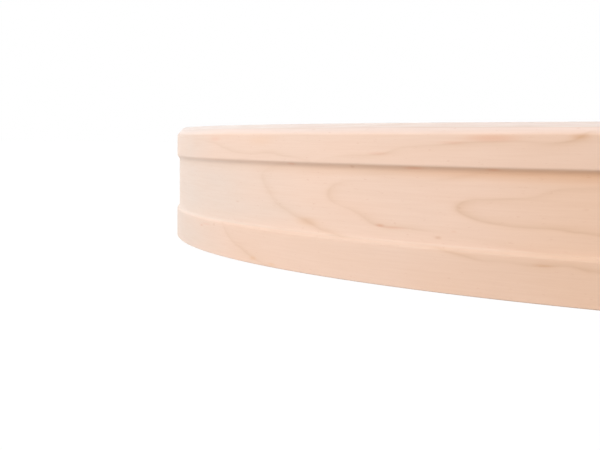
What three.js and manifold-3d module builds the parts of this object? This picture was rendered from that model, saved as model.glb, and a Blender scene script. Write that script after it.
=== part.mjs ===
// Laminated maple hoop: plies bent into rings and glued, with an inlay channel routed round the outside.
// Millimetres, +Z up along the hoop's axis, origin at the centre of the lower rim.
import * as THREE from 'three';
import { mergeGeometries, mergeVertices } from 'three/addons/utils/BufferGeometryUtils.js';
import Module from 'manifold-3d';

// The hoop
const hoopDiameter = 587.4;
const hoopHeight = 39.7;

// The laminate
const plyCount = 10;
const plyThickness = 1.18;
const glueLine = 0.1;

// The channel for an inlay round the outside face, above the lower band, with sloped sides
const lowerBand = 10.15;
const channelWidth = 19.4;
const channelDepth = 0.85;
const channelSideRise = 0.88;

// The bevel round the outer top edge, and the eased edges round the inside
const bevelRise = 2.65;
const bevelDepth = 2.4;
const innerEase = 0.8;

// Each ply's scarf seam: its opening, its lean along the strip and its place round the hoop
const seamGap = 0.3;
const seamLean = THREE.MathUtils.degToRad(45);
const firstSeamAngle = THREE.MathUtils.degToRad(21);
const seamStagger = THREE.MathUtils.degToRad(108);
const sawOverrun = 3;

const facetCount = 96;
const faceMaple = 0xf3d9c1;
const coreMaple = 0xe9cba9;

const outerRadius = hoopDiameter / 2;
const plyPitch = plyThickness + glueLine;
const innerRadius = outerRadius - plyCount * plyPitch + glueLine;

const channelMiddle = lowerBand + channelWidth / 2;
const channelFloorRadius = outerRadius - channelDepth;
const channelFloorHalf = channelWidth / 2 - channelSideRise;

// Points are [radius, height]. Each edge's line has the wood on its left.
const bevelLine = [[outerRadius, hoopHeight - bevelRise], [outerRadius - bevelDepth, hoopHeight]];
const upperEaseLine = [[innerRadius + innerEase, hoopHeight], [innerRadius, hoopHeight - innerEase]];
const lowerEaseLine = [[innerRadius, innerEase], [innerRadius + innerEase, 0]];

const wasm = await Module();
wasm.setup();

function solidFrom(geometry) {
  geometry.deleteAttribute('normal');
  geometry.deleteAttribute('uv');
  const merged = mergeVertices(geometry);
  return new wasm.Manifold(new wasm.Mesh({
    numProp: 3,
    vertProperties: merged.attributes.position.array,
    triVerts: new Uint32Array(merged.index.array),
  }));
}

function geometryFrom(solid) {
  const mesh = solid.getMesh();
  const geometry = new THREE.BufferGeometry();
  geometry.setAttribute('position', new THREE.BufferAttribute(mesh.vertProperties, mesh.numProp));
  geometry.setIndex(new THREE.BufferAttribute(mesh.triVerts, 1));
  geometry.computeVertexNormals();
  return geometry;
}

// Cuts a section along a line and keeps what lies to the left of it
function cutAlong(section, [[startRadius, startHeight], [endRadius, endHeight]]) {
  const leftOf = ([radius, height]) => (
    (endRadius - startRadius) * (height - startHeight) - (endHeight - startHeight) * (radius - startRadius)
  );
  return section.flatMap((corner, index) => {
    const next = section[(index + 1) % section.length];
    const here = leftOf(corner);
    const there = leftOf(next);
    const kept = here >= 0 ? [corner] : [];
    if (here * there < 0) {
      const share = here / (here - there);
      kept.push(corner.map((value, axis) => value + share * (next[axis] - value)));
    }
    return kept;
  });
}

// Half the channel's width at a radius between its floor and its mouth
function channelHalfAt(radius) {
  return channelFloorHalf + channelSideRise * (radius - channelFloorRadius) / channelDepth;
}

// The sections of a ply whose faces lie at these radii, counter-clockwise: two where the channel parts it
function sectionsBetween(inner, outer) {
  const foot = [[inner, 0], [outer, 0]];
  const head = [[outer, hoopHeight], [inner, hoopHeight]];
  if (channelFloorRadius >= outer) return [[...foot, ...head]];
  const lowerSide = (radius) => [radius, channelMiddle - channelHalfAt(radius)];
  const upperSide = (radius) => [radius, channelMiddle + channelHalfAt(radius)];
  if (channelFloorRadius <= inner) {
    return [
      [...foot, lowerSide(outer), lowerSide(inner)],
      [upperSide(inner), upperSide(outer), ...head],
    ];
  }
  const channel = [
    lowerSide(outer),
    lowerSide(channelFloorRadius),
    upperSide(channelFloorRadius),
    upperSide(outer),
  ];
  return [[...foot, ...channel, ...head]];
}

function ringFrom(section) {
  const profile = [...section, section[0]].map(([radius, height]) => new THREE.Vector2(radius, height));
  const geometry = new THREE.LatheGeometry(profile, facetCount);
  geometry.rotateX(Math.PI / 2);
  return geometry;
}

// A thin slab across the strip, leaning along it, as deep as the strip's own curve needs
function seamCut(inner, outer, angle) {
  const middle = (inner + outer) / 2;
  const reach = hoopHeight / 2 * Math.tan(seamLean) + sawOverrun;
  const curve = middle - Math.sqrt(middle ** 2 - reach ** 2);
  const slab = new THREE.BoxGeometry(
    outer - inner + 2 * (curve + sawOverrun),
    seamGap,
    hoopHeight / Math.cos(seamLean) + 2 * sawOverrun,
  );
  slab.rotateX(seamLean);
  slab.rotateZ(angle);
  slab.translate(middle * Math.cos(angle), middle * Math.sin(angle), hoopHeight / 2);
  return solidFrom(slab);
}

function plyGeometry(ply) {
  const outer = outerRadius - ply * plyPitch;
  const inner = outer - plyThickness;
  const edgeLines = [bevelLine, upperEaseLine, lowerEaseLine];
  const rings = sectionsBetween(inner, outer).map((section) => ringFrom(edgeLines.reduce(cutAlong, section)));
  const strip = solidFrom(mergeGeometries(rings));
  return geometryFrom(strip.subtract(seamCut(inner, outer, firstSeamAngle + ply * seamStagger)));
}

function plyName(ply) {
  if (ply === 0) return 'outer_face_ply';
  if (ply === plyCount - 1) return 'inner_face_ply';
  return `ply_${ply + 1}`;
}

function plyMaterial(ply) {
  const isFace = ply === 0 || ply === plyCount - 1;
  return new THREE.MeshStandardMaterial({
    color: isFace ? faceMaple : coreMaple,
    roughness: 0.55,
    metalness: 0,
  });
}

const hoop = new THREE.Group();
for (let ply = 0; ply < plyCount; ply += 1) {
  const mesh = new THREE.Mesh(plyGeometry(ply), plyMaterial(ply));
  mesh.name = plyName(ply);
  hoop.add(mesh);
}

export default hoop;
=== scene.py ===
"""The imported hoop, dressed: ten bent maple plies with their figure, on a white floor in soft light."""
import math

import bpy
import numpy as np
from mathutils import Matrix, Vector


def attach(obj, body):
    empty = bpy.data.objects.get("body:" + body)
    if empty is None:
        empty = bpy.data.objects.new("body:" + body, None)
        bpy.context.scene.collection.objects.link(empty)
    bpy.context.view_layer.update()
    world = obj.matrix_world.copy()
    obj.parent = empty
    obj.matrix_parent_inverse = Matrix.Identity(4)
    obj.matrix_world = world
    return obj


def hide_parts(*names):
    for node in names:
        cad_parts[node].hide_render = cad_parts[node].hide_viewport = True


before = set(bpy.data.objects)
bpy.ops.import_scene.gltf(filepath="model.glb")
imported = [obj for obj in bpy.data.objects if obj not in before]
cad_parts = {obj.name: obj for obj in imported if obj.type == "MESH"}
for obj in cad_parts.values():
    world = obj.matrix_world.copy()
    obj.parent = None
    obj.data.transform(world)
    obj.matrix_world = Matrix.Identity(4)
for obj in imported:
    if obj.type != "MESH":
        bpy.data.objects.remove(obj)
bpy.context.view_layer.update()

METRES_PER_MM = 0.001

# The hoop. Lengths are in millimetres, unless a line says otherwise.
OUTER_RADIUS = 293.7
HOOP_HEIGHT = 39.7
PLY_COUNT = 10
PLY_THICKNESS = 1.18
GLUE_LINE = 0.1
PLY_PITCH = PLY_THICKNESS + GLUE_LINE
INNER_RADIUS = OUTER_RADIUS - PLY_COUNT * PLY_PITCH + GLUE_LINE
STRIP_LENGTH = 2 * math.pi * OUTER_RADIUS

# The channel round the outside, and the bevel round its top
LOWER_BAND = 10.15
CHANNEL_TOP = 29.45
CHANNEL_DEPTH = 0.85
CHANNEL_SIDE_RISE = 0.88
BEVEL_RISE = 2.65
BEVEL_DEPTH = 2.4
BEVEL_CROWN = 0.16

# How far sanding has rounded each edge, as radii, and how finely the arcs are divided
FOOT_EASE = 0.25
LOWER_LIP_EASE = 0.7
LOWER_COVE = 0.8
UPPER_COVE = 2.0
UPPER_LIP_EASE = 0.9
BEVEL_EASE = 1.1
CROWN_EASE = 12.0
INNER_EASE = 0.9
ARC_STEP = math.radians(16)

# The scarf seams, and how far seams and glue lines stand open
FIRST_SEAM = math.radians(21)
SEAM_STAGGER = math.radians(108)
SEAM_LEAN = math.radians(45)
SEAM_OPENING = 0.05
GLUE_OPENING = 0.015

# How finely a ply is divided: the steps round its section, the length of a side that is left out because
# its ends are one point, and the columns round the hoop
SEEN_STEP = 0.92
HIDDEN_STEP = 5.0
SAME_POINT = 1e-6
OUTER_COLUMNS = 1320
INNER_COLUMNS = 1080
CORE_COLUMNS = 360
SHARP_ANGLE = math.radians(35)

# How a strip is folded onto the export's square map: its rows, the map's margin, how much of their width
# its hidden faces get, and where its two ends lie, as shares of the map's side
MAP_ROWS = 6
MAP_MARGIN_SHARE = 0.006
HIDDEN_WIDTH_SHARE = 0.1
CAP_LEFT_SHARE = 0.994
CAP_WIDTH_SHARE = 0.004
CAP_FOOT_SHARE = 0.01
CAP_HEIGHT_SHARE = 0.9

# Colours, as sRGB hex. A wood's range runs from cream to honey, and a tint multiplies what is under it.
FACE_MAPLE = (0xEAD4C4, 0xF4D2BC, 0xF2CCB1)
# The edge ranges are partly the paler cut fibres of sanded edges and partly a painted highlight on the
# bevel and rim
FACE_EDGE_AND_HIGHLIGHT_MAPLE = (0xE6D8D2, 0xF8E1D6)
CORE_MAPLE = (0xEDDACB, 0xE9D0BA)
CORE_EDGE_AND_HIGHLIGHT_MAPLE = (0xF1E7E2, 0xEFDFD7)
RING_TINT = 0xF2EBE1
FIBRE_TINT = 0xFCFAF8
FLECK_TINT = 0xF7F0EB
GLUE_TINT = 0xF6F0E8
# The next tint is painted shade: it tones down the highlight on the channel's upward-facing lower slope,
# and darkens the lower band a little
LEDGE_AND_LOW_SHADE_TINT = 0xF5F7F8
# The next tint is painted shade in the channel under its upper lip
UNDER_LIP_SHADE_TINT = 0xF8ECDE
RUSSET_TINT = 0xF9F0E7
RED_TINT = 0xFBE6DD
ORANGE_TINT = 0xFDF4E4
KNOT_TINT = 0xEEDFD2
FLOOR_GREY = 0xB4B4B4
ROOM_WHITE = 0xFFFFFF

# The wood's surface
WOOD_IOR = 1.45
FIBRE_RELIEF = 0.03
RELIEF_SHARE = 0.2
FACE_ROUGHNESS_SHARES = (0.48, 0.6)
EDGE_ROUGHNESS_SHARES = (0.52, 0.66)
FACE_SHEEN_SHARE = 0.2
EDGE_SHEEN_SHARE = 0.4
SHEEN_ROUGHNESS_SHARE = 0.4

# The wood's patterns: how long and how wide their features are, and how many finer patterns each holds.
# Each finer one is this share as strong, and each ply lies this much deeper in them all than the last.
# Real fibres are under a tenth of a millimetre wide, and are drawn as coarse as they need to be to show.
FACE_DRIFT = (60, 12, 1.0)
CORE_DRIFT = (150, 30, 1.0)
FACE_FIBRES = (16, 0.55, 3.0)
CORE_FIBRES = (11, 0.3, 3.0)
FLECKS = (2.2, 0.5, 1.0)
LINE_WOBBLES = (9, 2.5, 1.0)
FINER_SHARE = 0.55
GRAIN_SHIFT = 60.0

# How far the drift and the lines' waver reach to both sides, and over what stretch of its range a pattern
# darkens the wood
DRIFT_SHARE = 0.25
LINE_WAVER_SHARE = 0.04
FACE_FIBRE_SHARES = (0.35, 0.75)
CORE_FIBRE_SHARES = (0.35, 0.7)
FLECK_SHARES = (0.68, 0.82)

# How gradually glue colours a ply's back, and how far from the seam it colours the wood fully and at all
GLUE_BLUR = 0.02
SEAM_GLUE_FULL_TO = 0.06
SEAM_GLUE_TO = 0.14

# The sRGB curve: a straight line up to its knee, and a power above it
SRGB_KNEE_SHARE = 0.04045
SRGB_SLOPE = 12.92
SRGB_OFFSET_SHARE = 0.055
SRGB_POWER = 2.4

# A Mix node's sockets by number, because several of them bear one name
MIX_FACTOR = 0
MIX_NUMBER_A = 2
MIX_NUMBER_B = 3
MIX_COLOUR_A = 6
MIX_COLOUR_B = 7
MIXED_COLOUR = 2


def linear(colour):
    """The linear red, green, blue and alpha of an sRGB hex colour.

    A share s gives s / slope up to the knee, and ((s + offset) / (1 + offset)) ^ power above it.
    """
    shares = [(colour >> shift & 0xFF) / 0xFF for shift in (16, 8, 0)]
    whole = 1 + SRGB_OFFSET_SHARE
    return [
        share / SRGB_SLOPE if share <= SRGB_KNEE_SHARE
        else ((share + SRGB_OFFSET_SHARE) / whole) ** SRGB_POWER
        for share in shares
    ] + [1.0]


def add(tree, kind, settings=None, inputs=None, output=0):
    """Adds a node with its settings, sets or links its inputs, and returns the output asked for, if any."""
    node = tree.nodes.new(kind)
    for name, value in (settings or {}).items():
        setattr(node, name, value)
    for name, value in (inputs or {}).items():
        if isinstance(value, bpy.types.NodeSocket):
            tree.links.new(value, node.inputs[name])
        else:
            node.inputs[name].default_value = value
    return node.outputs[output] if node.outputs else None


# The hoop's section. Points are radius and height in millimetres, counter-clockwise.

def eased(corners):
    """A closed outline with each corner turned into an arc.

    The arc meets both sides at radius * tan(turn / 2) from the corner, and its centre lies square to
    them at that radius.
    """
    outline = []
    for index, (corner, radius) in enumerate(corners):
        corner = np.array(corner)
        arriving = corner - corners[index - 1][0]
        leaving = corners[(index + 1) % len(corners)][0] - corner
        arriving /= np.linalg.norm(arriving)
        leaving /= np.linalg.norm(leaving)
        turn = math.atan2(arriving[0] * leaving[1] - arriving[1] * leaving[0], arriving @ leaving)
        side = math.copysign(1, turn)
        square = side * np.array([-arriving[1], arriving[0]])
        centre = corner - arriving * radius * math.tan(abs(turn) / 2) + square * radius
        steps = math.ceil(abs(turn) / ARC_STEP)
        for angle in side * np.linspace(0, abs(turn), steps + 1):
            cosine, sine = math.cos(angle), math.sin(angle)
            spoke = -square * radius
            turned = [cosine * spoke[0] - sine * spoke[1], sine * spoke[0] + cosine * spoke[1]]
            outline.append(centre + turned)
    return outline


def hoop_outline():
    """The whole wall's outline: foot, channel, bevel with a slight crown, and the eased inner edges."""
    floor = OUTER_RADIUS - CHANNEL_DEPTH
    bevel_foot = np.array([OUTER_RADIUS, HOOP_HEIGHT - BEVEL_RISE])
    bevel_head = np.array([OUTER_RADIUS - BEVEL_DEPTH, HOOP_HEIGHT])
    outward = np.array([BEVEL_RISE, BEVEL_DEPTH]) / math.hypot(BEVEL_RISE, BEVEL_DEPTH)
    return eased([
        ((INNER_RADIUS, 0.0), INNER_EASE),
        ((OUTER_RADIUS, 0.0), FOOT_EASE),
        ((OUTER_RADIUS, LOWER_BAND), LOWER_LIP_EASE),
        ((floor, LOWER_BAND + CHANNEL_SIDE_RISE), LOWER_COVE),
        ((floor, CHANNEL_TOP - CHANNEL_SIDE_RISE), UPPER_COVE),
        ((OUTER_RADIUS, CHANNEL_TOP), UPPER_LIP_EASE),
        (tuple(bevel_foot), BEVEL_EASE),
        (tuple((bevel_foot + bevel_head) / 2 + outward * BEVEL_CROWN), CROWN_EASE),
        (tuple(bevel_head), BEVEL_EASE),
        ((INNER_RADIUS, HOOP_HEIGHT), INNER_EASE),
    ])


def kept_within(outline, limit, side):
    """The part of a closed outline whose radius is on one side of a limit: +1 keeps the larger radii."""
    kept = []
    for here, there in zip(outline, outline[1:] + outline[:1]):
        inside_here = side * (here[0] - limit) >= 0
        inside_there = side * (there[0] - limit) >= 0
        if inside_here:
            kept.append(here)
        if inside_here != inside_there:
            share = (limit - here[0]) / (there[0] - here[0])
            kept.append(here + share * (there - here))
    return kept


def hidden_by_wood(middle, outer, inner, seen_side):
    """Whether a side of the section, from the radius of its middle, lies against the next ply."""
    against_outer = (middle > outer - GLUE_LINE) & (seen_side != "outside")
    against_inner = (middle < inner + GLUE_LINE) & (seen_side != "inside")
    return against_outer | against_inner


def ply_section(outer, inner, seen_side):
    """One ply's outline, its sides split evenly: finely where seen, and coarsely where wood hides them."""
    outline = kept_within(kept_within(hoop_outline(), inner, 1), outer, -1)
    points = []
    for here, there in zip(outline, outline[1:] + outline[:1]):
        length = np.linalg.norm(there - here)
        hidden = hidden_by_wood((here[0] + there[0]) / 2, outer, inner, seen_side)
        steps = max(1, math.ceil(length / (HIDDEN_STEP if hidden else SEEN_STEP)))
        if length > SAME_POINT:
            points += [here + step / steps * (there - here) for step in range(steps)]
    return np.array(points)


# The figure: growth lines on the face of the outer ply. A point is its place along the strip from the seam,
# its height, in millimetres, and how dark the line is there, as a share. Lines run from their upper ends.

CHANNEL_LINES = [
    [
        (852, 40, 0.1), (828, 33, 0.1), (814, 26, 0.1), (810, 20, 0.1), (814, 13, 0.1),
        (828, 6, 0.1), (852, -2, 0.1),
    ],
    [
        (1003, 36, 0.2), (980, 30.5, 0.2), (968, 28, 0.25), (962.8, 26.4, 0.3), (961.4, 25, 0.5),
        (963.3, 23, 0.5), (965.8, 21, 0.5), (968.4, 19.1, 0.4), (970.5, 17.8, 0.6),
        (973.5, 16.9, 0.6), (977, 16, 0.5), (980.5, 15, 0.6), (984.5, 14.4, 0.8),
        (988.5, 13.3, 0.8), (992.5, 12.2, 0.7), (997, 11.7, 0.6), (1010, 9, 0.5), (1033, 2, 0.4),
    ],
    [
        (1090, 30.5, 0.1), (1052, 28.6, 0.2), (1045, 27.8, 0.3), (1039.5, 26.8, 0.3),
        (1034, 26, 0.25), (1022, 25.8, 0.15), (1010, 25.4, 0.15), (1002, 24.9, 0.3),
        (997.8, 23.8, 0.6), (996, 22.4, 0.7), (995.8, 21, 0.7), (997.2, 19.8, 0.5),
        (999.8, 18.9, 0.3), (1003.7, 18.2, 0.5), (1007, 17.5, 0.6), (1009.8, 16.4, 0.6),
        (1012, 15.3, 0.6), (1015, 14.6, 0.9), (1019, 14.2, 0.9), (1024, 14.4, 0.7),
        (1029, 14.2, 0.5), (1036, 13.9, 0.2), (1050, 12.8, 0.15), (1075, 9, 0.1), (1093, 2, 0.1),
    ],
    [
        (1128, 30, 0.5), (1085, 26.6, 0.4), (1076, 25.6, 0.4), (1069.5, 25.2, 0.5),
        (1065.5, 24.4, 0.4), (1062, 23.3, 0.4), (1056, 22.7, 0.6), (1050, 22.3, 0.7),
        (1045.5, 22.1, 0.7), (1042.3, 21.3, 0.9), (1041, 20.2, 1.0), (1041.8, 19.2, 1.0),
        (1044, 18.3, 1.0), (1047.5, 17.4, 0.9), (1052, 16.8, 0.8), (1057, 16.5, 0.7),
        (1063, 16.5, 0.7), (1068.5, 16.5, 0.9), (1072, 16, 0.8), (1077, 15.7, 0.8), (1113, 12, 0.5),
        (1153, 4, 0.5),
    ],
    [
        (1173, 32, 0.5), (1115, 24.5, 0.5), (1099, 22.4, 0.7), (1091, 20.8, 0.8), (1088, 19, 0.9),
        (1091, 17.4, 0.8), (1103, 16, 0.7), (1133, 13, 0.5), (1183, 6, 0.5),
    ],
    [
        (1233, 34, 0.5), (1168, 25.5, 0.5), (1143, 22.5, 0.6), (1134, 19.5, 0.7), (1139, 16.8, 0.6),
        (1163, 14, 0.5), (1243, 6, 0.5),
    ],
]
UPPER_BAND_LINES = [
    [
        (826, 44, 0.1), (850, 39.5, 0.1), (880, 36.5, 0.1), (905, 35.5, 0.15), (925, 34.4, 0.3),
        (936, 32.8, 0.5), (944, 31.8, 0.5), (955, 31.4, 0.5), (964, 31.7, 0.6), (970, 31.6, 0.6),
        (976, 31, 0.5), (985, 30.3, 0.3), (1000, 28, 0.2),
    ],
    [
        (1085, 41, 0.3), (1077, 38.5, 0.6), (1073.5, 36.6, 1.0), (1070.8, 35.5, 1.0),
        (1067.5, 35, 0.7), (1063, 35.1, 0.4), (1058, 35.5, 0.4), (1052, 35.3, 0.7),
        (1045, 35.1, 0.8), (1040, 34.8, 0.8), (1036, 34.4, 0.6), (1030, 34.2, 0.5),
        (1025, 33.9, 0.3), (1021.5, 33.1, 0.5), (1018, 32.2, 0.7), (1012, 31.8, 0.6),
        (1004, 31.6, 0.4), (996, 30.9, 0.2), (984, 28.5, 0.1),
    ],
    [
        (1190, 42, 0.5), (1140, 38.5, 0.5), (1112, 36.5, 0.6), (1100, 34.5, 0.7), (1108, 32.8, 0.6),
        (1130, 29, 0.5),
    ],
    [
        (1240, 42, 0.5), (1175, 39, 0.5), (1150, 36, 0.6), (1146, 34, 0.6), (1150, 31, 0.6),
        (1176, 27, 0.5),
    ],
]
LOWER_BAND_LINES = [
    [
        (846, 14, 0.1), (850, 9, 0.1), (858, 4, 0.1), (872, -2, 0.1),
    ],
    [
        (928, 14, 0.2), (932, 11.5, 0.2), (935.5, 9, 0.4), (938, 7.3, 0.5), (941, 5.9, 0.5),
        (945, 4.6, 0.6), (948.5, 4, 0.7), (952, 3, 0.7), (955.5, 2.2, 0.7), (959.5, 1.3, 0.5),
        (966, 0.2, 0.4), (974, -2, 0.3),
    ],
    [
        (1030, 12.4, 0.2), (1037.5, 10.2, 0.6), (1041, 9.5, 0.8), (1045, 9, 0.7),
        (1048.5, 8.4, 0.5), (1055, 8.6, 0.4), (1061, 8.3, 0.6), (1065, 8.4, 0.9), (1069, 8.8, 0.7),
        (1072.5, 8.8, 0.6), (1075.5, 8.1, 0.8), (1080, 7.9, 0.5), (1112, 5, 0.4), (1152, -2, 0.4),
    ],
    [
        (1128, 14, 0.5), (1132, 10, 0.5), (1144, 5, 0.5), (1164, -2, 0.5),
    ],
]

# Places along the strip. Between the inner two all lines and tones are drawn, and outside them the lines
# fade out first and the tones further on. By the end of that stretch this many lines have been passed.
TONE_FROM = 660
DRAWN_FROM = 806
DRAWN_ALL_FROM = 848
DRAWN_ALL_TO = 1084
DRAWN_TO = 1128
TONE_TO = 1250
LINES_PASSED = 4

# How a line is drawn: steps between its points, how much growth lines spread along the grain, the space
# beyond the first and last line, the widest space, the step over which the count's slope is measured, the
# reach within which the count follows distance, and the lengths of the line's fade and of its front
LINE_STEPS = 6
LINE_SQUEEZE = 4.5
LONE_SPACING = 9.0
WIDEST_SPACING = 20.0
SLOPE_STEP = 0.05
LINE_REACH = 2.4
LINE_FADE = 0.6
LINE_FRONT = 0.22

# The grown figure: the strip that climbs one ring, the height of its axis, and the fall beside the axis,
# which grows straighter from this far off. A wave is its length, its phase as a share and its size: in
# rings, in millimetres and as a share of the fall. A veneer's share moves its waves on.
RING_CLIMB = 41
CLIMB_WAVES = [(233, 0.1, 0.6), (610, 0.47, 1.3)]
AXIS_HEIGHT = 20
AXIS_WAVES = [(570, 0.3, 13), (181, 0.8, 4)]
RINGS_PER_SQUARE_MM = 0.017
FALL_WAVES = [(340, 0.6, 0.35)]
STRAIGHT_FALL_FROM = 14
OUTER_VENEER_SHARE = 0.0
INNER_VENEER_SHARE = 0.37

# Shares that wander along the strip: their step, their least values and their seeds
SHARE_STEP = 37
LEAST_DARKNESS_SHARE = 0.25
LEAST_TONE_SHARE = 0.45
LEAST_UNDER_LIP_SHADE_SHARE = 0.2
BAND_SEED = 5
CHANNEL_SEED = 8
INNER_SEED = 11
UNDER_LIP_SHADE_SEED = 17
FIRST_TONE_SEED = 3

# How far the wood has turned from cream to honey, and the share of painted shade under the channel's upper
# lip, at places along the strip
# In the drawn stretch the turn is partly painted light: paler towards the left end, where the face is seen
# at a grazing angle, and darker on the lower band towards the right end
CHANNEL_TONE_SHARES = [
    (848, 0.0), (894, 0.05), (948, 0.25), (993, 0.42), (1024, 0.45), (1048, 0.55), (1075, 0.96),
]
UPPER_BAND_TONE_SHARES = [(848, 0.12), (894, 0.19), (927, 0.53), (973, 0.47), (1050, 0.47), (1075, 0.67)]
LOWER_BAND_TONE_AND_SHADE_SHARES = [
    (848, 0.12), (894, 0.22), (949, 0.65), (1024, 0.54), (1037, 0.72), (1059, 0.8), (1076, 1.0),
]
UNDER_LIP_SHADE_SHARES = [(848, 0.1), (950, 0.3), (1000, 0.6), (1050, 1.0)]

# The channel's figure and tone take over from the bands' between these depths
CUT_FROM = 0.2
CUT_TO = 0.7

# The painted shade under the channel's upper lip: its reach under the channel's top, the part of it that is
# full, and the depth where it is full
UNDER_LIP_SHADE_REACH = 3.9
UNDER_LIP_SHADE_FULL_REACH = 1.2
UNDER_LIP_SHADE_DEPTH = 0.4

# A side comes to face up as this much of its length runs inwards
FACING_UP_SHARES = (0.2, 0.6)

# The wood turns pale from this share of the bevel's rise under the rim to this close under it: partly its
# cut fibres, and partly a painted highlight where it faces up
PALE_REACH_SHARE = 1.5
PALE_END = 0.3

# The lower band gets this share of painted shade, but not at its top, where the shade fades out over this
# much
LOWER_BAND_SHADE_SHARE = 0.4
LOW_SHADE_FADE = 0.6


def drawn_through(points):
    """A smooth line through its points.

    Between two of them it is the cubic whose slope at each is half the chord between that one's neighbours.
    """
    points = np.array(points, float)
    points = np.vstack([2 * points[0] - points[1], points, 2 * points[-1] - points[-2]])
    before, start, end, after = (points[skip:len(points) - 3 + skip, None] for skip in range(4))
    share = (np.arange(LINE_STEPS) / LINE_STEPS)[:, None]
    curve = start + share / 2 * (end - before + share * (
        2 * before - 5 * start + 4 * end - after + share * (3 * start - before - 3 * end + after)
    ))
    return np.vstack([curve.reshape(-1, points.shape[1]), points[-2]])


def near_line(along, height, points):
    """How far each place is from a line through points, on which side, and how dark the line is there.

    Lengths along the strip are squeezed, because growth lines spread along the grain. The nearest spot
    is the nearest one on any of the line's steps, and the line is passed where the step's cross product
    with the way from that spot is positive.
    """
    squeezed = np.array([LINE_SQUEEZE, 1.0])
    curve = drawn_through(points)
    start = curve[:-1, :2] / squeezed
    step = curve[1:, :2] / squeezed - start
    place = (np.stack([along, height], -1) / squeezed)[:, None]
    share = np.clip(np.sum((place - start) * step, -1) / np.sum(step ** 2, -1), 0, 1)
    away = place - start - share[..., None] * step
    distance = np.hypot(away[..., 0], away[..., 1])
    nearest = np.argmin(distance, 1)
    away = away[np.arange(len(nearest)), nearest]
    step = step[nearest]
    passed = step[:, 0] * away[:, 1] > step[:, 1] * away[:, 0]
    return np.min(distance, 1), passed, curve[nearest, 2]


def drawn_figure(along, height, lines):
    """The level and darkness from drawn lines.

    The level is the number of lines passed, plus the share of the way to the next one: the distance
    behind / (behind + ahead). The darkness is that of the nearer of the two lines.
    """
    distances, passed, darkness = (np.array(values) for values in zip(*(
        near_line(along, height, points) for points in lines
    )))
    count = np.sum(passed, 0)
    last = np.clip(count - 1, 0, None)[None]
    following = np.clip(count, None, len(lines) - 1)[None]
    behind = np.where(count == 0, LONE_SPACING, np.take_along_axis(distances, last, 0)[0])
    ahead = np.where(count == len(lines), LONE_SPACING, np.take_along_axis(distances, following, 0)[0])
    nearer = np.where(behind < ahead, last, following)
    return count - 1 + behind / (behind + ahead), np.take_along_axis(darkness, nearer, 0)[0]


def wave_sum(along, veneer_share, waves):
    """The sum of sine waves along the strip, each size * sin(2 pi (along / length + phase + veneer))."""
    return sum(
        size * np.sin(2 * math.pi * (along / length + phase_share + veneer_share))
        for length, phase_share, size in waves
    )


def grown_level(along, height, veneer_share):
    """The number of growth rings crossed at a point of a flat-sawn veneer.

    It climbs along the strip, and falls away on both sides of an axis that wanders in height: as the
    square of the distance near the axis, and in proportion to it further off. So its whole numbers
    trace nested noses.
    """
    climb = along / RING_CLIMB + wave_sum(along, veneer_share, CLIMB_WAVES)
    axis = AXIS_HEIGHT + wave_sum(along, veneer_share, AXIS_WAVES)
    fall = RINGS_PER_SQUARE_MM * (1 + wave_sum(along, veneer_share, FALL_WAVES))
    off = np.abs(height - axis)
    return climb - fall * off ** 2 / (1 + off / STRAIGHT_FALL_FROM)


def smooth_share(value, start, end):
    """0 before the start, 1 after the end, and the cubic 3s^2 - 2s^3 between them."""
    share = np.clip((value - start) / (end - start), 0, 1)
    return share * share * (3 - 2 * share)


def drawn_weight(along, start, end):
    """1 in the stretch where all is drawn, and a smooth fall to 0 at the start and the end."""
    return smooth_share(along, start, DRAWN_ALL_FROM) * (1 - smooth_share(along, DRAWN_ALL_TO, end))


def wandering_share(along, least_share, seed):
    """A share that wanders along the strip, through seeded random values at even steps."""
    places = np.arange(-SHARE_STEP, STRIP_LENGTH + 2 * SHARE_STEP, SHARE_STEP)
    shares = np.random.default_rng(seed).uniform(least_share, 1.0, len(places))
    return np.interp(along, places, shares)


def with_drawn(along, height, drawn_at, seed):
    """Grown figure, with drawn lines in their own stretch. The counts agree where the drawn lines end."""
    level = grown_level(along, height, OUTER_VENEER_SHARE)
    last_level = grown_level(DRAWN_ALL_TO, HOOP_HEIGHT / 2, OUTER_VENEER_SHARE)
    level -= np.round(last_level - LINES_PASSED)
    darkness = wandering_share(along, LEAST_DARKNESS_SHARE, seed)
    stretch = (along > DRAWN_FROM) & (along < DRAWN_TO)
    weight = drawn_weight(along[stretch], DRAWN_FROM, DRAWN_TO)
    for values, drawn in zip((level, darkness), drawn_at(along[stretch], height[stretch])):
        values[stretch] += weight * (drawn - values[stretch])
    return level, darkness


def drawn_on_bands(along, height):
    """The level and darkness drawn on the upper band and on the lower one."""
    upper = drawn_figure(along, height, UPPER_BAND_LINES)
    lower = drawn_figure(along, height, LOWER_BAND_LINES)
    return [np.where(height > HOOP_HEIGHT / 2, above, below) for above, below in zip(upper, lower)]


def drawn_in_channel(along, height):
    """The level and darkness drawn on the channel's floor, which lies deeper in the wood."""
    return drawn_figure(along, height, CHANNEL_LINES)


def band_figure(along, height):
    """The level and darkness on the outer ply's bands."""
    return with_drawn(along, height, drawn_on_bands, BAND_SEED)


def channel_figure(along, height):
    """The level and darkness in the outer ply's channel."""
    return with_drawn(along, height, drawn_in_channel, CHANNEL_SEED)


def inner_figure(along, height):
    """The level and darkness on the inner ply, from a veneer of its own."""
    level = grown_level(along, height, INNER_VENEER_SHARE)
    return level, wandering_share(along, LEAST_DARKNESS_SHARE, INNER_SEED)


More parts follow.
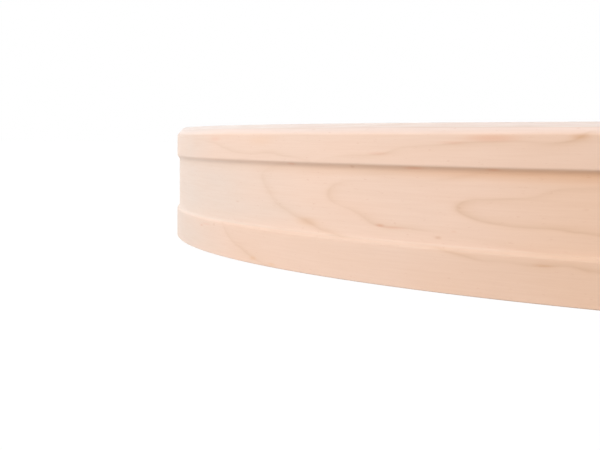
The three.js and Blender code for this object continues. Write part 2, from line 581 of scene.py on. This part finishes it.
def line_places(figure_at, along, height):
    """Where each place lies between two growth lines, as a count that the mesh can carry, and the darkness.

    The spacing is one over the level's slope. The count keeps its whole numbers, but leaves each line at
    the same slope on both sides, as half of 1 - exp(-2 distance / reach): weighted by the square of the
    other distance, what the line behind gives and what the line ahead leaves are added.
    """
    level, darkness = figure_at(along, height)
    rise_along = figure_at(along + SLOPE_STEP, height)[0] - level
    rise_up = figure_at(along, height + SLOPE_STEP)[0] - level
    rise = np.hypot(LINE_SQUEEZE * rise_along, rise_up)
    spacing = SLOPE_STEP / np.maximum(rise, SLOPE_STEP / WIDEST_SPACING)
    passed = np.floor(level)
    behind = (level - passed) * spacing
    ahead = spacing - behind
    after_last, before_next = (
        0.5 - 0.5 * np.exp(-2 * distance / LINE_REACH) for distance in (behind, ahead)
    )
    weight = ahead ** 2 / (ahead ** 2 + behind ** 2)
    return passed + weight * after_last + (1 - weight) * (1 - before_next), darkness


def in_channel(height, depth, shallow, deep):
    """How far a place is inside the channel, from 0 at a shallow depth to 1 at a deep one."""
    return smooth_share(depth, shallow, deep) * (height < CHANNEL_TOP) * (depth < PLY_PITCH)


def tone_shares(along, height, depth, seed):
    """How far the wood has turned from cream to honey, partly painted light: wandering, and drawn in the
    drawn stretch.
    """
    upper, lower, floor = (
        np.interp(along, *zip(*shares))
        for shares in (UPPER_BAND_TONE_SHARES, LOWER_BAND_TONE_AND_SHADE_SHARES, CHANNEL_TONE_SHARES)
    )
    on_band = lower + smooth_share(height, LOWER_BAND, CHANNEL_TOP) * (upper - lower)
    drawn = on_band + in_channel(height, depth, CUT_FROM, CUT_TO) * (floor - on_band)
    grown = wandering_share(along, LEAST_TONE_SHARE, seed)
    return grown + drawn_weight(along, TONE_FROM, TONE_TO) * (drawn - grown)


# The plies

def write_attribute(mesh, name, values):
    """Gives each vertex a number, or a vector where the values have three for each."""
    vector = values.ndim == 3
    attribute = mesh.attributes.new(name, "FLOAT_VECTOR" if vector else "FLOAT", "POINT")
    attribute.data.foreach_set("vector" if vector else "value", values.ravel().astype(np.float32))


def pale_and_shade_shares(section, depth, along):
    """How pale each place is, and how much painted shade it has.

    A point faces up as far as the more level of the sides next to it. The bevel turns pale towards the
    rim, partly for its cut fibres and partly as a painted highlight. The channel's upward-facing lower
    slope has painted shade that tones down its highlight, and the band under it a little, darker towards
    the bottom. Painted shade also darkens the channel under its upper lip, by a share that wanders.
    """
    height = section[:, 1]
    sides = np.roll(section, -1, 0) - section
    up = -sides[:, 0] / np.linalg.norm(sides, axis=1)
    up = smooth_share(np.maximum(up, np.roll(up, 1)), *FACING_UP_SHARES)
    # Partly the paler cut fibres and partly a painted highlight, growing towards the rim where the wood
    # faces up
    pale = smooth_share(height, HOOP_HEIGHT - PALE_REACH_SHARE * BEVEL_RISE, HOOP_HEIGHT - PALE_END)
    pale = pale * up * (height > CHANNEL_TOP)
    # Painted shade on the channel's upward-facing lower slope, and a little on the lower band below it
    low = (1 - smooth_share(height, LOWER_BAND - LOW_SHADE_FADE, LOWER_BAND)) * (depth < PLY_PITCH)
    ledge_and_low_shade = up * (height < CHANNEL_TOP) + LOWER_BAND_SHADE_SHARE * low
    # Painted shade under the channel's upper lip, by a share that wanders
    corner = smooth_share(height, CHANNEL_TOP - UNDER_LIP_SHADE_REACH, CHANNEL_TOP - UNDER_LIP_SHADE_FULL_REACH)
    corner = corner * in_channel(height, depth, 0, UNDER_LIP_SHADE_DEPTH)
    wandering = wandering_share(along, LEAST_UNDER_LIP_SHADE_SHARE, UNDER_LIP_SHADE_SEED)
    drawn = np.interp(along, *zip(*UNDER_LIP_SHADE_SHARES))
    under_lip_shade = wandering + drawn_weight(along, DRAWN_FROM, DRAWN_TO) * (drawn - wandering)
    return np.stack(np.broadcast_arrays(pale, ledge_and_low_shade, corner * under_lip_shade), -1)


def figures(ply):
    """A face ply's figure on its bands and as the channel's cut shows it. A core ply has none."""
    if ply == 0:
        return {"band": band_figure, "channel": channel_figure}
    if ply == PLY_COUNT - 1:
        return {"band": inner_figure, "channel": inner_figure}
    return {}


def closed_strip(name, points):
    """A mesh of quads between one section's points and the next one's, closed at both ends."""
    columns, count = points.shape[0] - 1, points.shape[1]
    start = np.arange(columns * count).reshape(columns, count)
    after = np.roll(start, -1, 1)
    quads = np.stack([start, start + count, after + count, after], -1).reshape(-1, 4)
    first_cap = list(range(count))
    last_cap = [columns * count + index for index in reversed(first_cap)]
    mesh = bpy.data.meshes.new(name)
    mesh.from_pydata(points.reshape(-1, 3) * METRES_PER_MM, [], quads.tolist() + [first_cap, last_cap])
    return mesh


def describe_wood(mesh, ply, outer, section, turn, lean):
    """Gives each point what the materials read about its wood.

    "grain" is its place along the strip, its height and its depth in the ply, moved on so that no two
    plies match. "wood" is its depth in the ply, its distance from the seam and its tone. "cut" is how
    pale it is, partly as a painted highlight, and its painted shade on the ledge, low on the band and
    under the channel's upper lip. A face ply also has its count of growth lines and their darkness.
    """
    along = (turn - lean) * outer
    radius, height = (np.broadcast_to(values, along.shape) for values in section.T)
    depth = OUTER_RADIUS - radius
    depth_in_ply = depth - ply * PLY_PITCH
    from_end = np.broadcast_to(np.minimum(turn, 2 * math.pi - turn) * outer, along.shape)
    tone = tone_shares(along, height, depth, FIRST_TONE_SEED + ply)
    write_attribute(mesh, "grain", np.stack([along, height, depth_in_ply + GRAIN_SHIFT * ply], -1))
    write_attribute(mesh, "wood", np.stack([depth_in_ply, from_end, tone], -1))
    write_attribute(mesh, "cut", pale_and_shade_shares(section, depth, along))
    for zone, figure_at in figures(ply).items():
        place, darkness = line_places(figure_at, along, height)
        write_attribute(mesh, zone + "_lines", place)
        write_attribute(mesh, zone + "_darkness", darkness)


def inset(share, margin_share):
    """A share of a length, moved inwards to leave a margin at both of its ends."""
    return margin_share + share * (1 - 2 * margin_share)


def lay_on_map(mesh, section, columns, outer, inner, seen):
    """Lays a strip on the export's square map, folded into rows, with its two ends in the right margin.

    Along a row the place follows the columns, and across it the distance round the section, with the
    hidden faces squeezed.
    """
    count = len(section)
    sides = np.linalg.norm(np.roll(section, -1, 0) - section, axis=1)
    across = np.concatenate([[0], np.cumsum(np.where(seen, sides, sides * HIDDEN_WIDTH_SHARE))])
    across /= across[-1]
    per_row = math.ceil(columns / MAP_ROWS)
    row, place = np.divmod(np.arange(columns), per_row)
    corners = np.empty((columns, count, 4, 2))
    for corner, (next_column, next_side) in enumerate(((0, 0), (1, 0), (1, 1), (0, 1))):
        along_share = inset((place + next_column) / per_row, MAP_MARGIN_SHARE)
        across_share = inset(across[next_side:count + next_side], MAP_MARGIN_SHARE * MAP_ROWS)
        corners[:, :, corner, 0] = along_share[:, None]
        corners[:, :, corner, 1] = (row[:, None] + across_share) / MAP_ROWS
    cap = np.stack([
        CAP_LEFT_SHARE + CAP_WIDTH_SHARE * (section[:, 0] - inner) / (outer - inner),
        CAP_FOOT_SHARE + CAP_HEIGHT_SHARE * section[:, 1] / HOOP_HEIGHT,
    ], -1)
    layer = mesh.uv_layers.new(name="OFBake")
    places = np.vstack([corners.reshape(-1, 2), cap, cap[::-1]])
    layer.data.foreach_set("uv", places.ravel().astype(np.float32))


def bent_strip(name, ply, columns, seen_side, material):
    """A ply bent into a ring: its section carried round the hoop from one side of its seam to the other.

    At column c and section point (r, z) the angle is the seam's, less z's share of the lean, plus c's
    share of the turn.
    """
    outer = OUTER_RADIUS - ply * PLY_PITCH
    inner = INNER_RADIUS if ply == PLY_COUNT - 1 else outer - PLY_PITCH + GLUE_OPENING
    section = ply_section(outer, inner, seen_side)
    radius, height = section.T
    opening = SEAM_OPENING / outer
    turn = np.linspace(opening / 2, 2 * math.pi - opening / 2, columns + 1)[:, None]
    lean = (height - HOOP_HEIGHT / 2) * math.tan(SEAM_LEAN) / outer
    angle = turn - lean + FIRST_SEAM + ply * SEAM_STAGGER
    points = np.stack(np.broadcast_arrays(radius * np.cos(angle), radius * np.sin(angle), height), -1)

    mesh = closed_strip(name, points)
    describe_wood(mesh, ply, outer, section, turn, lean)
    seen = ~hidden_by_wood((np.roll(radius, -1) + radius) / 2, outer, inner, seen_side)
    lay_on_map(mesh, section, columns, outer, inner, seen)
    mesh.polygons.foreach_set("use_smooth", [True] * len(mesh.polygons))
    mesh.set_sharp_from_angle(angle=SHARP_ANGLE)
    mesh.materials.append(material)
    strip = bpy.data.objects.new(name, mesh)
    bpy.context.scene.collection.objects.link(strip)
    weighting = strip.modifiers.new("face_weighting", "WEIGHTED_NORMAL")
    weighting.keep_sharp = True
    return strip


# The wood

def grain_pattern(tree, grain, length, width, finer):
    """A soft random pattern stretched along the grain, with features of this length and width."""
    scaled = add(tree, "ShaderNodeVectorMath", {"operation": "MULTIPLY"}, {
        0: grain, 1: (1 / length, 1 / width, 1 / width),
    })
    return add(tree, "ShaderNodeTexNoise", {"normalize": True}, {
        "Vector": scaled, "Scale": 1.0, "Detail": finer, "Roughness": FINER_SHARE,
    })


def growth_lines(tree, name, waver):
    """Growth lines from each place's count of lines and their darkness.

    With a reach between the count's whole numbers, the share left to the next line is
    exp(-2 distance / reach), so its power by reach / (2 fade) is an even fade behind each line. The same
    power before the line, with a shorter length, is its quick rise.
    """
    count = add(tree, "ShaderNodeAttribute", {"attribute_name": name + "_lines"}, output="Fac")
    darkness = add(tree, "ShaderNodeAttribute", {"attribute_name": name + "_darkness"}, output="Fac")
    wavering = add(tree, "ShaderNodeMath", {"operation": "ADD"}, {0: count, 1: waver})
    passed = add(tree, "ShaderNodeMath", {"operation": "FRACT"}, {0: wavering})
    after = add(tree, "ShaderNodeMapRange", inputs={
        "Value": passed, "From Max": 0.5, "To Min": 1.0, "To Max": 0.0,
    })
    before = add(tree, "ShaderNodeMapRange", inputs={"Value": passed, "From Min": 0.5})
    fade = add(tree, "ShaderNodeMath", {"operation": "POWER"}, {
        0: after, 1: LINE_REACH / (2 * LINE_FADE),
    })
    front = add(tree, "ShaderNodeMath", {"operation": "POWER"}, {
        0: before, 1: LINE_REACH / (2 * LINE_FRONT),
    })
    dark = add(tree, "ShaderNodeMath", {"operation": "MAXIMUM"}, {0: fade, 1: front})
    return add(tree, "ShaderNodeMath", {"operation": "MULTIPLY"}, {0: dark, 1: darkness})


# Small marks on the outer face: place along the strip, height, half length, half height, strength and tint
FACE_MARKS = [
    (905.0, 34.8, 8.0, 2.0, 0.3, RUSSET_TINT),
    (927.0, 35.6, 6.0, 0.9, 0.4, RED_TINT),
    (962.0, 35.2, 9.0, 1.5, 0.35, ORANGE_TINT),
    (1016.0, 32.2, 4.0, 0.5, 0.35, RED_TINT),
    (1040.5, 35.0, 5.0, 0.5, 0.35, RED_TINT),
    (1051.0, 36.1, 8.5, 1.1, 0.5, RED_TINT),
    (1051.0, 36.1, 8.5, 1.1, 0.5, RUSSET_TINT),
    (1073.0, 36.6, 2.4, 0.7, 0.4, KNOT_TINT),
    (1073.0, 36.4, 2.8, 0.8, 0.45, ORANGE_TINT),
    (979.0, 29.0, 2.5, 0.4, 0.7, RED_TINT),
    (1006.0, 28.8, 1.0, 0.4, 0.7, KNOT_TINT),
    (1028.0, 28.9, 4.0, 0.4, 0.8, RED_TINT),
    (1051.5, 29.0, 2.5, 0.4, 0.7, RED_TINT),
    (944.5, 17.2, 1.6, 0.3, 0.5, KNOT_TINT),
    (986.0, 13.9, 5.5, 1.0, 0.3, KNOT_TINT),
    (986.0, 13.8, 6.5, 1.3, 0.4, ORANGE_TINT),
    (1016.3, 14.6, 2.0, 0.5, 0.6, RED_TINT),
    (1016.3, 14.6, 2.0, 0.5, 0.4, KNOT_TINT),
    (1021.0, 14.3, 5.0, 0.4, 0.5, RED_TINT),
    (1035.6, 12.8, 1.3, 0.45, 0.8, KNOT_TINT),
    (1040.3, 14.5, 1.0, 0.35, 0.6, RUSSET_TINT),
    (912.0, 8.1, 2.0, 0.4, 0.8, RED_TINT),
    (918.0, 8.8, 6.0, 0.45, 0.4, RED_TINT),
    (926.0, 9.2, 1.5, 0.5, 0.5, KNOT_TINT),
    (1065.0, 8.5, 3.0, 0.5, 0.8, RUSSET_TINT),
    (957.5, 1.6, 2.6, 0.7, 1.0, ORANGE_TINT),
    (969.0, 0.9, 2.5, 0.5, 0.8, ORANGE_TINT),
]

# Where a mark has faded to nothing, counted in its half sizes
MARK_REACH = 1.3


def ranged(tree, share, colours):
    """A colour from a range with evenly spaced stops, by a share of the way along it."""
    colour = linear(colours[0])
    steps = len(colours) - 1
    for step, following in enumerate(colours[1:]):
        within = add(tree, "ShaderNodeMapRange", inputs={
            "Value": share, "From Min": step / steps, "From Max": (step + 1) / steps,
        })
        colour = add(tree, "ShaderNodeMix", {"data_type": "RGBA"}, {
            MIX_FACTOR: within, MIX_COLOUR_A: colour, MIX_COLOUR_B: linear(following),
        }, output=MIXED_COLOUR)
    return colour


def wood_ground(tree, tone, pale, drift, sides, edges):
    """The wood's colour, with a painted highlight on its edges: along a range by its tone and a slow drift.

    The sides have one range and the sanded edges a paler one: partly their cut fibres, and partly a painted
    highlight.
    """
    wander = add(tree, "ShaderNodeMapRange", inputs={
        "Value": drift, "To Min": -DRIFT_SHARE, "To Max": DRIFT_SHARE,
    })
    turned = add(tree, "ShaderNodeMath", {"operation": "ADD"}, {0: tone, 1: wander})
    return add(tree, "ShaderNodeMix", {"data_type": "RGBA"}, {
        MIX_FACTOR: pale,
        MIX_COLOUR_A: ranged(tree, turned, sides),
        MIX_COLOUR_B: ranged(tree, turned, edges),
    }, output=MIXED_COLOUR)


def tinted(tree, colour, layers):
    """A colour with tints multiplied over it, each by its own amount."""
    for amount, tint in layers:
        colour = add(tree, "ShaderNodeMix", {"data_type": "RGBA", "blend_type": "MULTIPLY"}, {
            MIX_FACTOR: amount, MIX_COLOUR_A: colour, MIX_COLOUR_B: linear(tint),
        }, output=MIXED_COLOUR)
    return colour


def glue_stain(tree, depth):
    """How far a place is stained by the glue on its ply's back."""
    return add(tree, "ShaderNodeMapRange", inputs={
        "Value": depth, "From Min": PLY_THICKNESS - GLUE_BLUR, "From Max": PLY_THICKNESS + GLUE_BLUR,
    })


def face_marks(tree, grain):
    """Each small mark's amount and tint: full at its middle, and fading smoothly all round."""
    marks = []
    for along, height, half_length, half_height, strength, tint in FACE_MARKS:
        offset = add(tree, "ShaderNodeVectorMath", {"operation": "SUBTRACT"}, {
            0: grain, 1: (along, height, 0),
        })
        scaled = add(tree, "ShaderNodeVectorMath", {"operation": "MULTIPLY"}, {
            0: offset, 1: (1 / half_length, 1 / half_height, 0),
        })
        away = add(tree, "ShaderNodeVectorMath", {"operation": "LENGTH"}, {0: scaled}, output="Value")
        amount = add(tree, "ShaderNodeMapRange", {"interpolation_type": "SMOOTHSTEP"}, {
            "Value": away, "From Max": MARK_REACH, "To Min": strength, "To Max": 0.0,
        })
        marks.append((amount, tint))
    return marks


def bare_wood(tree, colour, fibre, roughness_shares, sheen_share):
    """Sanded wood's surface: matt, with a faint relief and change of gloss from its fibres."""
    smoothest, roughest = roughness_shares
    roughness = add(tree, "ShaderNodeMapRange", inputs={
        "Value": fibre, "To Min": smoothest, "To Max": roughest,
    })
    relief = add(tree, "ShaderNodeBump", inputs={
        "Height": fibre, "Strength": RELIEF_SHARE, "Distance": FIBRE_RELIEF * METRES_PER_MM,
    })
    surface = add(tree, "ShaderNodeBsdfPrincipled", inputs={
        "Base Color": colour, "Roughness": roughness, "Normal": relief, "IOR": WOOD_IOR,
        "Sheen Weight": sheen_share, "Sheen Roughness": SHEEN_ROUGHNESS_SHARE,
    })
    add(tree, "ShaderNodeOutputMaterial", inputs={"Surface": surface})


def empty_material(name):
    """A new material whose node tree is still empty."""
    material = bpy.data.materials.new(name)
    material.use_nodes = True
    material.node_tree.nodes.clear()
    return material


def carried(tree, name):
    """The three numbers that a mesh carries under this name."""
    vector = add(tree, "ShaderNodeAttribute", {"attribute_name": name}, output="Vector")
    return add(tree, "ShaderNodeSeparateXYZ", inputs={"Vector": vector}).node.outputs


def sanded_face_maple():
    """Hard maple veneer, flat-sawn and sanded bare: pale, matt and close-grained.

    The eye sees a ground that drifts between cream and honey, faint growth lines in nested noses, and
    short flecks along the grain.
    """
    material = empty_material("sanded_face_maple")
    tree = material.node_tree
    grain = add(tree, "ShaderNodeAttribute", {"attribute_name": "grain"}, output="Vector")
    pale, ledge_and_low_shade, under_lip_shade = carried(tree, "cut")
    depth, from_end, tone = carried(tree, "wood")

    drift = grain_pattern(tree, grain, *FACE_DRIFT)
    ground = wood_ground(tree, tone, pale, drift, FACE_MAPLE, FACE_EDGE_AND_HIGHLIGHT_MAPLE)
    fibre = grain_pattern(tree, grain, *FACE_FIBRES)
    fibre_dark = add(tree, "ShaderNodeMapRange", inputs={
        "Value": fibre, "From Min": FACE_FIBRE_SHARES[0], "From Max": FACE_FIBRE_SHARES[1],
    })
    fleck = grain_pattern(tree, grain, *FLECKS)
    fleck_dark = add(tree, "ShaderNodeMapRange", inputs={
        "Value": fleck, "From Min": FLECK_SHARES[0], "From Max": FLECK_SHARES[1],
    })
    wobble = grain_pattern(tree, grain, *LINE_WOBBLES)
    waver = add(tree, "ShaderNodeMapRange", inputs={
        "Value": wobble, "To Min": -LINE_WAVER_SHARE, "To Max": LINE_WAVER_SHARE,
    })
    on_band = growth_lines(tree, "band", waver)
    on_floor = growth_lines(tree, "channel", waver)
    cut = add(tree, "ShaderNodeMapRange", inputs={"Value": depth, "From Min": CUT_FROM, "From Max": CUT_TO})
    lines = add(tree, "ShaderNodeMix", {"data_type": "FLOAT"}, {
        MIX_FACTOR: cut, MIX_NUMBER_A: on_band, MIX_NUMBER_B: on_floor,
    })
    seam = add(tree, "ShaderNodeMapRange", inputs={
        "Value": from_end, "From Min": SEAM_GLUE_FULL_TO, "From Max": SEAM_GLUE_TO,
        "To Min": 1.0, "To Max": 0.0,
    })
    glue = add(tree, "ShaderNodeMath", {"operation": "MAXIMUM"}, {0: glue_stain(tree, depth), 1: seam})
    layers = [
        (fibre_dark, FIBRE_TINT),
        (fleck_dark, FLECK_TINT),
        (lines, RING_TINT),
        (glue, GLUE_TINT),
        # painted shade on the channel's lower slope and the lower band
        (ledge_and_low_shade, LEDGE_AND_LOW_SHADE_TINT),
        # painted shade under the channel's upper lip
        (under_lip_shade, UNDER_LIP_SHADE_TINT),
    ]
    colour = tinted(tree, ground, layers + face_marks(tree, grain))
    bare_wood(tree, colour, fibre, FACE_ROUGHNESS_SHARES, FACE_SHEEN_SHARE)
    return material


def sawn_core_maple():
    """Sawn core veneer, of which only the sanded edges show.

    The eye sees fine straight grain, and one ply a shade apart from the next.
    """
    material = empty_material("sawn_core_maple")
    tree = material.node_tree
    grain = add(tree, "ShaderNodeAttribute", {"attribute_name": "grain"}, output="Vector")
    pale = carried(tree, "cut")["X"]
    wood = carried(tree, "wood")
    depth, tone = wood["X"], wood["Z"]

    drift = grain_pattern(tree, grain, *CORE_DRIFT)
    # The edge range is partly a painted highlight on the bevel and rim
    ground = wood_ground(tree, tone, pale, drift, CORE_MAPLE, CORE_EDGE_AND_HIGHLIGHT_MAPLE)
    fibre = grain_pattern(tree, grain, *CORE_FIBRES)
    fibre_dark = add(tree, "ShaderNodeMapRange", inputs={
        "Value": fibre, "From Min": CORE_FIBRE_SHARES[0], "From Max": CORE_FIBRE_SHARES[1],
    })
    layers = [(fibre_dark, FLECK_TINT), (glue_stain(tree, depth), GLUE_TINT)]
    bare_wood(tree, tinted(tree, ground, layers), fibre, EDGE_ROUGHNESS_SHARES, EDGE_SHEEN_SHARE)
    return material


# The studio

# The share of the floor that the camera sees as plain white, how bright that white is, and the floor's
# side in metres
PLAIN_SHARE = 0.65
PLAIN_BRIGHTNESS = 1.34
FLOOR_SIDE = 30.0

# The even light from all round, and how bright the room looks behind the object
EVEN_BRIGHTNESS = 0.39
ROOM_BRIGHTNESS = 1.0

# Each soft lamp's azimuth, elevation, level on a surface that faces it, and angle across, in degrees
LAMPS = {
    "window": (165, 12, 0.447, 40),
    "softbox": (205, 37, 0.24, 26),
    "fill": (265, 38, 0.256, 36),
    "back_window": (0, 15, 0.35, 60),
    "side_window": (90, 15, 0.2, 60),
}

# The camera, from a fit to the edges in the photograph: its sensor and lens in millimetres, its nearest
# sight and its place in metres
CAMERA_SENSOR = 36.0
CAMERA_LENS = 73.0
CAMERA_NEAREST = 0.01
CAMERA_PLACE = (-0.24637, -0.48346, 0.03504)
CAMERA_DOWN = math.radians(3.937)
CAMERA_ROLL = math.radians(0.455)


def seen_directly(tree):
    """1 for rays from the camera, also by way of gloss or glass, and 0 for rays that gather light."""
    camera = add(tree, "ShaderNodeLightPath", output="Is Camera Ray")
    share = camera
    for kind in ("Is Glossy Ray", "Is Transmission Ray"):
        share = add(tree, "ShaderNodeMath", {"operation": "MAXIMUM"}, {
            0: share, 1: camera.node.outputs[kind],
        })
    return share


def plain_floor():
    """A flat white sheet that mostly shows as plain white, and keeps the object's shadow in the rest."""
    half = FLOOR_SIDE / 2
    corners = [(-half, -half, 0), (half, -half, 0), (half, half, 0), (-half, half, 0)]
    mesh = bpy.data.meshes.new("floor")
    mesh.from_pydata(corners, [], [range(len(corners))])
    material = empty_material("matt_white_paper")
    tree = material.node_tree
    share = add(tree, "ShaderNodeMath", {"operation": "MULTIPLY"}, {0: seen_directly(tree), 1: PLAIN_SHARE})
    paper = add(tree, "ShaderNodeBsdfDiffuse", inputs={"Color": linear(FLOOR_GREY)})
    plain = add(tree, "ShaderNodeEmission", inputs={"Strength": PLAIN_BRIGHTNESS})
    surface = add(tree, "ShaderNodeMixShader", inputs={0: share, 1: paper, 2: plain})
    add(tree, "ShaderNodeOutputMaterial", inputs={"Surface": surface})
    mesh.materials.append(material)
    floor = bpy.data.objects.new("floor", mesh)
    bpy.context.scene.collection.objects.link(floor)


def white_room():
    """Even light from all round, with a plain white look behind the object."""
    world = bpy.data.worlds.new("white_room")
    world.use_nodes = True
    tree = world.node_tree
    tree.nodes.clear()
    even, plain = (
        add(tree, "ShaderNodeBackground", inputs={"Color": linear(ROOM_WHITE), "Strength": brightness})
        for brightness in (EVEN_BRIGHTNESS, ROOM_BRIGHTNESS)
    )
    surface = add(tree, "ShaderNodeMixShader", inputs={0: seen_directly(tree), 1: even, 2: plain})
    add(tree, "ShaderNodeOutputWorld", inputs={"Surface": surface})
    bpy.context.scene.world = world


def soft_lamp(name, azimuth, elevation, level, softness):
    """A far lamp that is broad in the sky. A surface that faces it gets light of this level."""
    lamp = bpy.data.lights.new(name, "SUN")
    lamp.energy = math.pi * level
    lamp.angle = math.radians(softness)
    turn, rise = math.radians(azimuth), math.radians(elevation)
    towards = Vector((math.cos(rise) * math.cos(turn), math.cos(rise) * math.sin(turn), math.sin(rise)))
    light = bpy.data.objects.new(name, lamp)
    light.rotation_euler = towards.to_track_quat("Z", "Y").to_euler()
    bpy.context.scene.collection.objects.link(light)


def product_camera():
    """The photograph's view, from just below the level of the upper edge."""
    lens = bpy.data.cameras.new("camera")
    lens.sensor_width = CAMERA_SENSOR
    lens.lens = CAMERA_LENS
    lens.clip_start = CAMERA_NEAREST
    camera = bpy.data.objects.new("camera", lens)
    camera.matrix_world = (
        Matrix.Translation(CAMERA_PLACE)
        @ Matrix.Rotation(math.pi / 2 - CAMERA_DOWN, 4, "X")
        @ Matrix.Rotation(CAMERA_ROLL, 4, "Z")
    )
    bpy.context.scene.collection.objects.link(camera)
    bpy.context.scene.camera = camera


product_camera()
white_room()
plain_floor()
for lamp_name, lamp_settings in LAMPS.items():
    soft_lamp(lamp_name, *lamp_settings)

face_maple = sanded_face_maple()
core_maple = sawn_core_maple()
strips = [("outer_face_strip", "outer_face_ply", "face_maple", OUTER_COLUMNS, "outside", face_maple)]
for number in range(2, PLY_COUNT):
    strips.append((
        f"core_strip_{number}", f"ply_{number}", "core_maple", CORE_COLUMNS, "neither", core_maple,
    ))
strips.append(("inner_face_strip", "inner_face_ply", "face_maple", INNER_COLUMNS, "inside", face_maple))
for ply, (name, node, slot, columns, seen_side, material) in enumerate(strips):
    strip = bent_strip(name, ply, columns, seen_side, material)
    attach(strip, "root")
    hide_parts(node)

bpy.context.scene.view_settings.view_transform = "Standard"
